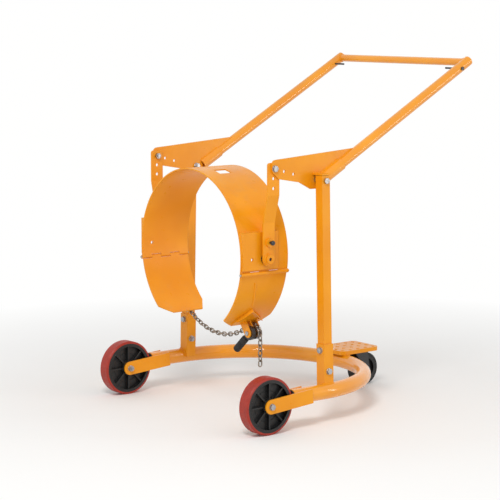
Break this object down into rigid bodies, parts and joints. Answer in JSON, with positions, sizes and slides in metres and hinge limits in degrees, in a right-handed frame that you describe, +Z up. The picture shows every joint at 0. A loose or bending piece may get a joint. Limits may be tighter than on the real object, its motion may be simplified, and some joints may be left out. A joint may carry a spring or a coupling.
{
  "type": "drum tipper",
  "caption": "Wheeled drum tipper: a horseshoe cart with posts and a push handle carries a swinging saddle that clamps a steel drum with hinged jaws and a cinch chain and tips it to pour.",
  "frame": {"origin": "on the floor under the middle of the bounding box, midway between the two front wheels", "axes": "+Z up, +X to the rear where the operator holds the handle, -X to the pouring front, left is -Y"},
  "size_m": [1.119, 0.9252, 1.2621],
  "materials": {
    "yellow_paint": "gloss enamel",
    "zinc_plate": "bright zinc plate",
    "chain_steel": "galvanised chain",
    "black_plastic": "moulded nylon",
    "red_tread": "cast polyurethane tread",
    "black_rubber": "black rubber",
    "black_paint": "black enamel"
  },
  "bodies": {
    "frame": {"horseshoe_tube": "yellow_paint", "left_fork_cheeks": "yellow_paint", "right_fork_cheeks": "yellow_paint", "left_post_sleeve": "yellow_paint", "right_post_sleeve": "yellow_paint", "left_post": "yellow_paint", "right_post": "yellow_paint", "frame_bolts": "zinc_plate", "frame_nuts": "zinc_plate", "handle_spacers": "zinc_plate", "step_plate": "yellow_paint", "caster_top_plate": "black_paint", "caster_race": "black_paint", "caster_kingpin": "zinc_plate", "axle_sleeves": "zinc_plate", "axle_bolts": "zinc_plate", "axle_nuts": "zinc_plate", "left_handle_plate": "yellow_paint", "right_handle_plate": "yellow_paint", "handle_stops": "yellow_paint", "left_handle_socket": "yellow_paint", "right_handle_socket": "yellow_paint", "left_side_tube": "yellow_paint", "right_side_tube": "yellow_paint", "crossbar": "yellow_paint", "crossbar_pegs": "black_paint", "hanger_bolts": "zinc_plate", "hanger_nuts": "zinc_plate"},
    "hangers": {"left_hanger": "yellow_paint", "right_hanger": "yellow_paint", "lock_bush": "yellow_paint"},
    "lock": {"lock_pin": "black_paint"},
    "saddle": {"saddle_band": "yellow_paint", "left_side_pad": "yellow_paint", "right_side_pad": "yellow_paint", "trunnion_pins": "black_paint", "trunnion_ends": "yellow_paint", "hinge_rods": "zinc_plate"},
    "left_jaw": {"left_flap": "yellow_paint", "tightener_bracket": "yellow_paint", "cinch_chain": "chain_steel"},
    "right_jaw": {"right_flap": "yellow_paint", "chain_anchor": "yellow_paint", "anchor_pin": "zinc_plate"},
    "tightener": {"tightener_shaft": "zinc_plate", "tightener_lever": "black_paint", "lever_grip": "black_rubber", "chain_spool": "zinc_plate"},
    "tail_first": {"chain_lead": "chain_steel"},
    "tail_rest": {"chain_tail": "chain_steel"},
    "left_wheel": {"left_wheel_core": "black_plastic", "left_wheel_tread": "red_tread", "left_wheel_bearing": "zinc_plate"},
    "right_wheel": {"right_wheel_core": "black_plastic", "right_wheel_tread": "red_tread", "right_wheel_bearing": "zinc_plate"},
    "caster_swivel_fork": {"caster_fork": "black_paint", "caster_axle": "zinc_plate"},
    "caster_wheel": {"caster_core": "black_plastic", "caster_tyre": "black_rubber"}
  },
  "joints": [
    {"name": "hanger_swing", "type": "hinge", "parent": "frame", "child": "hangers", "pos_m": [-0.36555, 0, 0.897], "axis": [0, 1, 0], "range_deg": [-20, 45], "deforming": ["chain_lead", "chain_tail"]},
    {"name": "holder_tilt", "type": "hinge", "parent": "hangers", "child": "saddle", "pos_m": [-0.36555, 0, 0.583], "axis": [0, 1, 0], "range_deg": [-90, 90], "deforming": ["chain_lead", "chain_tail"]},
    {"name": "lock_push", "type": "slide", "parent": "hangers", "child": "lock", "axis": [0, 1, 0], "range_m": [0, 0.009]},
    {"name": "left_jaw_open", "type": "hinge", "parent": "saddle", "child": "left_jaw", "pos_m": [-0.36555, -0.29571, 0.53245], "axis": [-1, 0, 0], "range_deg": [0, 85], "deforming": ["cinch_chain", "chain_lead", "chain_tail"]},
    {"name": "right_jaw_open", "type": "hinge", "parent": "saddle", "child": "right_jaw", "pos_m": [-0.36555, 0.29571, 0.53245], "axis": [1, 0, 0], "range_deg": [0, 85], "deforming": ["cinch_chain"]},
    {"name": "tightener_turn", "type": "hinge", "parent": "left_jaw", "child": "tightener", "pos_m": [-0.33305, -0.20373, 0.30768], "axis": [-1, 0, 0], "range_deg": [0, 110], "deforming": ["cinch_chain"]},
    {"name": "tail_fold", "type": "hinge", "parent": "left_jaw", "child": "tail_first", "pos_m": [-0.33305, -0.20373, 0.30768], "axis": [1, 0, 0], "range_deg": [0, 85], "deforming": ["cinch_chain", "chain_lead", "chain_tail"]},
    {"name": "tail_swing", "type": "hinge", "parent": "tail_first", "child": "tail_rest", "pos_m": [-0.33305, -0.23173, 0.2801], "axis": [0, 1, 0], "range_deg": [-90, 90], "deforming": ["cinch_chain", "chain_lead", "chain_tail"]},
    {"name": "left_wheel_spin", "type": "hinge", "parent": "frame", "child": "left_wheel", "pos_m": [-0.45955, -0.422, 0.1], "axis": [0, 1, 0], "continuous": true},
    {"name": "right_wheel_spin", "type": "hinge", "parent": "frame", "child": "right_wheel", "pos_m": [-0.45955, 0.422, 0.1], "axis": [0, 1, 0], "continuous": true},
    {"name": "caster_swivel", "type": "hinge", "parent": "frame", "child": "caster_swivel_fork", "pos_m": [0.33145, 0, 0.135], "axis": [0, 0, 1], "continuous": true},
    {"name": "caster_wheel_spin", "type": "hinge", "parent": "caster_swivel_fork", "child": "caster_wheel", "pos_m": [0.35545, 0, 0.0625], "axis": [0, 1, 0], "continuous": true}
  ],
  "couplings": [
    {"joint": "tail_fold", "follows": "left_jaw_open", "ratio": 1},
    {"joint": "tail_swing", "follows": "holder_tilt", "ratio": -1}
  ]
}
